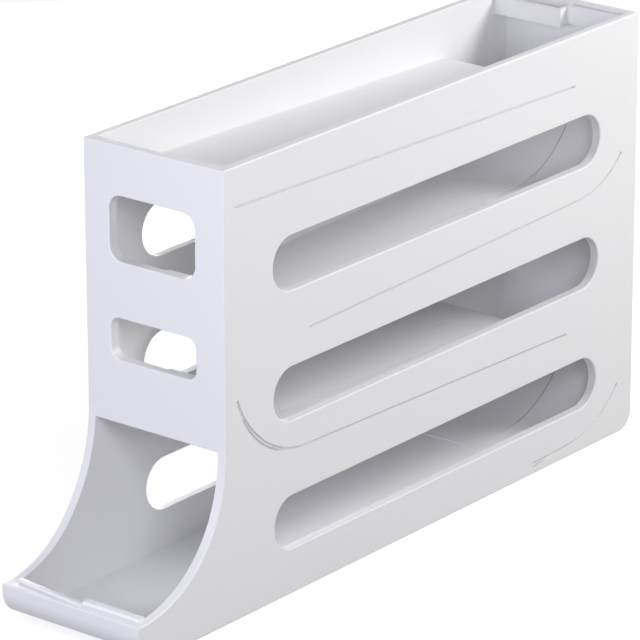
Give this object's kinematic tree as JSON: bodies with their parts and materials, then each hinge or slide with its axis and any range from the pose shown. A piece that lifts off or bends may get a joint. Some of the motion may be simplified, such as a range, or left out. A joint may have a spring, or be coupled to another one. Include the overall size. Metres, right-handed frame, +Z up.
{
  "type": "rolling egg dispenser",
  "caption": "Tall narrow white plastic egg dispenser with sloping inner lanes, slotted sides, front windows, an open top and an open tray swept out at the foot.",
  "frame": {"origin": "middle of the underside, the flat face the dispenser stands on", "axes": "+Z up; +Y from the egg tray at the front to the back; +X to the right seen from the front"},
  "size_m": [0.08, 0.37, 0.2116],
  "materials": {
    "shell": "satin white",
    "lane": "satin white",
    "joining": "satin white"
  },
  "bodies": {
    "root": {"left_side_panel": "shell", "left_front_panel": "shell", "left_back_panel": "shell", "left_floor": "shell", "left_tray_lip": "shell", "left_upper_lane": "lane", "left_middle_lane": "lane", "left_lower_lane": "lane", "left_return_lane": "lane", "right_side_panel": "shell", "right_front_panel": "shell", "right_back_panel": "shell", "right_floor": "shell", "right_tray_lip": "shell", "right_upper_lane": "lane", "right_middle_lane": "lane", "right_lower_lane": "lane", "right_return_lane": "lane", "left_locating_pins": "joining", "right_pin_sockets": "joining", "left_snap_tabs": "joining"}
  },
  "joints": []
}
